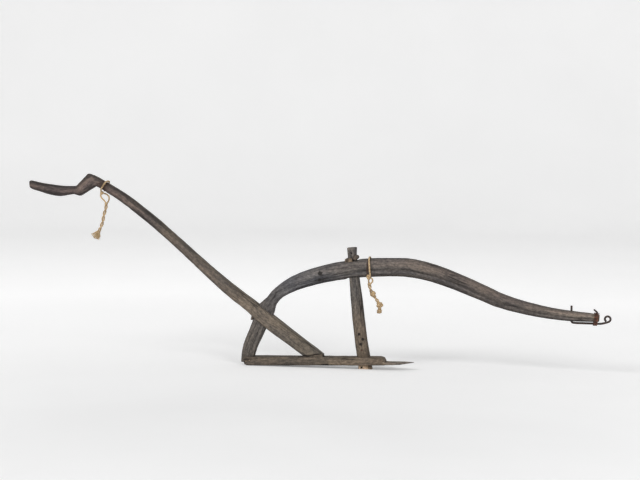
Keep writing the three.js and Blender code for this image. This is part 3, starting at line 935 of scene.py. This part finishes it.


# Small pieces get a slight painted shade, a little darker towards their lower edge.
even = [(0.0, shade(0.85)), (1.0, shade(0.95))]
finishes = {
    "beam": timber_finish(
        "old_beam",
        along=[
            (0.0, tone(0x605A54)), (0.14, tone(0x5A5654)), (0.24, tone(0x5C5C60)),
            (0.4, tone(0x625E5C)), (0.62, tone(0x665E59)), (0.8, tone(0x665E59)),
            # The tip is paler: wood rubbed smooth, partly a painted highlight.
            (0.94, tone(0x726A64)), (0.975, tone(0x787069)), (0.988, tone(0x867B66)),
        ],
        # Painted shade and highlight across the beam: a dark underside, a dark band below the
        # middle, a lighter upper band and a darker top edge; fade keeps it weak at the rear end.
        rise=[
            (0.0, shade(0.42, 0.4)), (0.08, shade(0.62)), (0.28, shade(0.82, 0.85, 0.91)),
            (0.38, shade(0.45)), (0.45, shade(0.48)), (0.53, shade(0.85)),
            (0.68, shade(1.1, 1.06, 1.03)), (0.88, shade(0.94, 0.91, 0.9)), (1.0, shade(0.72)),
        ],
        fade=(0.18, 0.42, 0.1, 1.0), seed=1.7, shine=0.62,
        stains_and_painted_shade=[
            ((0.048, -0.027, 0.396), spot(0.013), tone(0x17120F), 0.9),
            ((0.045, -0.027, 0.368), spot(0.009), tone(0x17120F), 0.9),
            ((0.2, -0.025, 0.382), (0.05, 0.03, 0.006), tone(0x17120F), 0.8),
            # Painted shadow of the rope on the beam, along the rope's left side.
            ((0.247, -0.03, 0.42), (0.007, 0.03, 0.05), tone(0x33231A), 0.8),
            # Painted shade on the tip's underside, over the gap above the hook's rod.
            ((1.11, -0.01, 0.226), (0.06, 0.03, 0.008), tone(0x120E0C), 0.9),
        ],
    ),
    "handle": timber_finish(
        "old_handle",
        along=[
            (0.0, tone(0x544A46)), (0.14, tone(0x544A48)), (0.155, tone(0x665A55)),
            (0.21, tone(0x5C524E)), (0.235, tone(0x5C504C)), (0.4, tone(0x5A524E)),
            (0.46, tone(0x6C6258)), (0.55, tone(0x5E5650)), (0.7, tone(0x665D54)),
            (0.85, tone(0x6E655B)), (1.0, tone(0x6C6459)),
        ],
        # Painted shade and highlight across the handle: a darker underside and top bevel, a lighter
        # face between; fade keeps it mostly to the rear half with the grip.
        rise=[
            (0.0, shade(0.45)), (0.2, shade(0.6)), (0.36, shade(1.25, 1.2, 1.18)),
            (0.62, shade(1.2, 1.16, 1.12)), (0.76, shade(0.5)), (0.9, shade(0.42)),
            (1.0, shade(0.6)),
        ],
        fade=(0.45, 0.65, 1.0, 0.15), seed=4.1, shine=0.58,
        stains_and_painted_shade=[
            # Painted shade round the rope, a dark brown patch where the rope wraps the handle.
            ((-0.905, -0.018, 0.745), spot(0.03), tone(0x2E1F17), 0.75),
            ((-0.005, -0.024, 0.047), (0.034, 0.03, 0.005), tone(0x120D0A), 0.95),
        ],
    ),
    "sole": timber_finish(
        "old_sole",
        along=[
            (0.0, tone(0x645B52)), (0.5, tone(0x675D52)), (0.82, tone(0x6E6256)),
            (0.86, tone(0x7E746A)), (1.0, tone(0x8E847A)),
        ],
        # Painted shade: darker towards the bottom, slightly darker at the top edge.
        rise=[(0.0, shade(0.5)), (0.25, shade(0.9)), (0.7, shade(1.08)), (1.0, shade(0.85))],
        seed=7.3,
        stains_and_painted_shade=[
            # Painted shade in the chip notch at the sole's lower edge.
            ((0.078, -0.032, 0.013), (0.03, 0.02, 0.008), tone(0x0D0A08), 0.97),
            ((-0.02, -0.03, 0.047), (0.05, 0.02, 0.004), tone(0x17120F), 0.9),
            ((-0.266, -0.032, 0.018), spot(0.007), tone(0x17120F), 0.9),
            ((-0.251, -0.032, 0.022), spot(0.006), tone(0x17120F), 0.9),
        ],
    ),
    "post": timber_finish(
        "old_post",
        along=[
            (0.0, tone(0xE8CCB0)), (0.03, tone(0xD8BC9E)), (0.07, tone(0x6E6152)),
            (0.4, tone(0x665C53)), (0.6, tone(0x645F5A)), (1.0, tone(0x6A6561)),
        ],
        # Painted shade across the post: darker at both side edges, most at the rear one.
        rise=[(0.0, shade(0.8)), (0.5, shade(1.0)), (0.88, shade(0.95)), (1.0, shade(0.6))],
        seed=9.6,
        stains_and_painted_shade=[
            ((x / 1000, -0.016, z / 1000), spot(reach), tone(0x0F0B09), 0.97)
            for x, z, reach in [
                (212, 146, 0.0074), (229, 126, 0.0074), (220, 104, 0.008), (225, 80, 0.0055),
                (177, 483.5, 0.0052), (184, 455, 0.0075),
            ]
        ],
    ),
}
old_tones = [(0.0, tone(0x5E554D)), (1.0, tone(0x6A6056))]
pale_tones = [(0.0, tone(0x94806A)), (1.0, tone(0x86745F))]
plain_timber = timber_finish("old_wood", old_tones, even, seed=2.2)
pale_wood = timber_finish("split_wood", pale_tones, even, seed=3.3)

# %% Carve every wooden piece
def carve(node, voxel, values, material):
    made = fine_copy(node, voxel, "aged_" + node)
    length = store_grain(made, pith_of(node))
    settings = {
        "Rounding": 2, "Reach": 8, "Facet Length": 0.07, "Facet Depth": 0.0016, "Sway": 0.003,
        "Furrow Depth": 0.0008, "Chip Depth": 0.0022, "Seed": 0.0, "Material": material,
    }
    settings.update(values)
    grow(made, carving, settings)
    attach(made, body_of[node])
    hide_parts(node)
    print(made.name, round(length * 1000), "mm long,", len(made.data.polygons), "faces")
    return made


carve("beam", 0.0022, {"Sway": 0.004, "Seed": 1.0}, finishes["beam"])
carve("handle", 0.0021, {"Seed": 5.0, "Facet Depth": 0.0012}, finishes["handle"])
carve("sole", 0.0016, {"Seed": 8.0, "Sway": 0.001}, finishes["sole"])
carve("post", 0.0014, {"Seed": 12.0, "Sway": 0.001, "Reach": 10}, finishes["post"])

# %% [markdown]
# ### Wedges and pegs
# These were split from scraps with a knife, so they are flatter than the timbers and several are
# still pale. The same carving serves with finer steps. The packing slip is planed thinner on
# the side of the post: the post's facets stand out a little, and the slip has to draw out.

# %% Small wooden pieces
SMALL_VOXEL = 0.0009
small = {
    "Rounding": 2, "Facet Depth": 0.0003, "Sway": 0.0, "Furrow Depth": 0.0003,
    "Chip Depth": 0.0006,
}
for node in ("rear_wedge", "post_key", "handle_foot_peg", "handle_wedge"):
    carve(node, SMALL_VOXEL, small, plain_timber)
for node in ("heel_peg_rear", "heel_peg_front", "foot_wedge", "nose_pin"):
    carve(node, SMALL_VOXEL, small, pale_wood)

SLIP_PLANED = 0.3
slip = carve("packing_slip", SMALL_VOXEL, small, pale_wood)
near_face = min(vertex.co.y for vertex in slip.data.vertices)
for vertex in slip.data.vertices:
    vertex.co.y += SLIP_PLANED * (near_face - vertex.co.y)

# %% [markdown]
# ## Iron
# The draft hook was forged from a round rod, and the nails are hand-cut. Old iron is brown-black
# with rust in its pits. The same fine copy serves: rounding turns the CAD rod's flat sides into
# a round one, and a little noise stands for hammer marks and rust scale.

# %% Iron finishes
def iron_finish(name, dark, rust, amount):
    material, tree, shader = new_material(name)
    places = place(tree, "ShaderNodeTexCoord").outputs["Object"]
    patches = noise(tree, places, 90, detail=6, roughness=0.65)
    pits = noise(tree, places, 900, detail=3)
    rusted = remap(tree, patches, 0.62 - amount, 0.78 - amount)
    colour = blend_colours(tree, rusted, dark, rust)
    colour = blend_colours(tree, remap(tree, pits, 0.5, 0.7, 0.0, 0.6), colour, tone(0x2A1A12))
    tree.links.new(colour, shader.inputs["Base Color"])
    tree.links.new(remap(tree, rusted, 0.0, 1.0, 0.35, 0.05), shader.inputs["Metallic"])
    tree.links.new(remap(tree, rusted, 0.0, 1.0, 0.45, 0.85), shader.inputs["Roughness"])
    bump(tree, shader, calc(tree, "ADD", patches, pits), 0.0005)
    return material


iron = iron_finish("forged_iron", tone(0x3A302C), tone(0x4C362A), 0.1)
rusty_iron = iron_finish("rusty_iron", tone(0x48342B), tone(0x84503A), 0.16)
nail_iron = iron_finish("nail_iron", tone(0x18120F), tone(0x2A1B14), 0.1)
forged = {
    "Rounding": 3, "Facet Depth": 0.0002, "Facet Length": 0.02, "Sway": 0.0,
    "Furrow Depth": 0.0, "Chip Depth": 0.0,
}
carve("draft_hook", 0.0008, forged, iron)
carve("foot_pin", 0.0006, forged, iron)
for node, finish in {
    "post_nail_upper": nail_iron, "post_nail_middle": nail_iron, "post_nail_lower": rusty_iron,
}.items():
    carve(node, 0.0005, {**forged, "Rounding": 2}, finish)

# %% [markdown]
# ## The wire binding
# A few turns of rusty wire lash the hook's rod under the beam's tip. Each turn is the same
# rounded rectangle, moved on by one pitch, so a formula in Geometry Nodes draws the whole coil:
# the point's number gives its angle, and the angle gives its place.

# %% The tree that winds the wire
STEPS_PER_TURN = 40.0


def winding_tree():
    tree, given = new_tree("winding", {
        "Turns": "Float", "Pitch": "Float", "Half Width": "Float", "Half Height": "Float",
        "Slant": "Float", "Wire Radius": "Float", "Centre": "Vector", "Material": "Material",
    })
    steps = calc(tree, "MULTIPLY", given["Turns"], STEPS_PER_TURN)
    count = place(tree, "FunctionNodeFloatToInt", {0: steps}, rounding_mode="CEILING").outputs[0]
    line = place(tree, "GeometryNodeMeshLine", {"Count": count}).outputs[0]
    index = place(tree, "GeometryNodeInputIndex").outputs[0]
    turned = calc(tree, "DIVIDE", index, STEPS_PER_TURN)
    angle = calc(tree, "MULTIPLY", turned, 2 * math.pi)

    def squared(wave):
        size = calc(tree, "POWER", calc(tree, "ABSOLUTE", wave), 2 / 3)
        return calc(tree, "MULTIPLY", calc(tree, "SIGN", wave), size)

    across = calc(tree, "MULTIPLY", squared(calc(tree, "SINE", angle)), given["Half Width"])
    rise = calc(tree, "MULTIPLY", squared(calc(tree, "COSINE", angle)), given["Half Height"])
    loose = noise(tree, place(tree, "ShaderNodeCombineXYZ", {0: turned}).outputs[0], 2.3, 2)
    slack = calc(tree, "MULTIPLY", given["Pitch"], 1.5)
    drift = calc(tree, "MULTIPLY", calc(tree, "SUBTRACT", loose, 0.5), slack)
    along = calc(tree, "ADD", calc(tree, "MULTIPLY", turned, given["Pitch"]), drift)
    along = calc(tree, "ADD", along, calc(tree, "MULTIPLY", rise, given["Slant"]))
    spot = place(tree, "ShaderNodeCombineXYZ", {0: along, 1: across, 2: rise}).outputs[0]
    wound = place(tree, "GeometryNodeSetPosition", {
        "Geometry": line, "Position": vector_calc(tree, "ADD", spot, given["Centre"]),
    }).outputs[0]
    wire = place(tree, "GeometryNodeCurveToMesh", {
        "Curve": place(tree, "GeometryNodeMeshToCurve", {"Mesh": wound}).outputs[0],
        "Profile Curve": place(tree, "GeometryNodeCurvePrimitiveCircle", {
            "Resolution": 8, "Radius": given["Wire Radius"],
        }).outputs[0],
        "Fill Caps": True,
    }).outputs[0]
    smooth = place(tree, "GeometryNodeSetShadeSmooth", {"Geometry": wire}).outputs[0]
    finish_tree(tree, smooth, given["Material"])
    return tree


binding = new_object("wound_wire", [(0, 0, 0)], [])
grow(binding, winding_tree(), {
    "Turns": 5.0, "Pitch": 0.0036, "Half Width": 0.0219, "Half Height": 0.0252, "Slant": 0.12,
    "Wire Radius": 0.0015, "Centre": (1.1685, 0, 0.2374), "Material": rusty_iron,
})
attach(binding, "frame")
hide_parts("binding_wire")
print("binding", len(binding.data.polygons), "faces")

# %% The wire's two ends, twisted together
twist_points = metres([
    (1184, -12, 264.6), (1180, -12, 268.6), (1175, -11.5, 272.6), (1169, -11, 278.6),
])
twist_route, _ = even_route(twist_points, 0.0008)
twist = join_tubes("twisted_wire_end", laid(twist_route, 2, 0.0022, 0.0018, 0.012), iron)
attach(twist, "frame")
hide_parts("wire_twist")
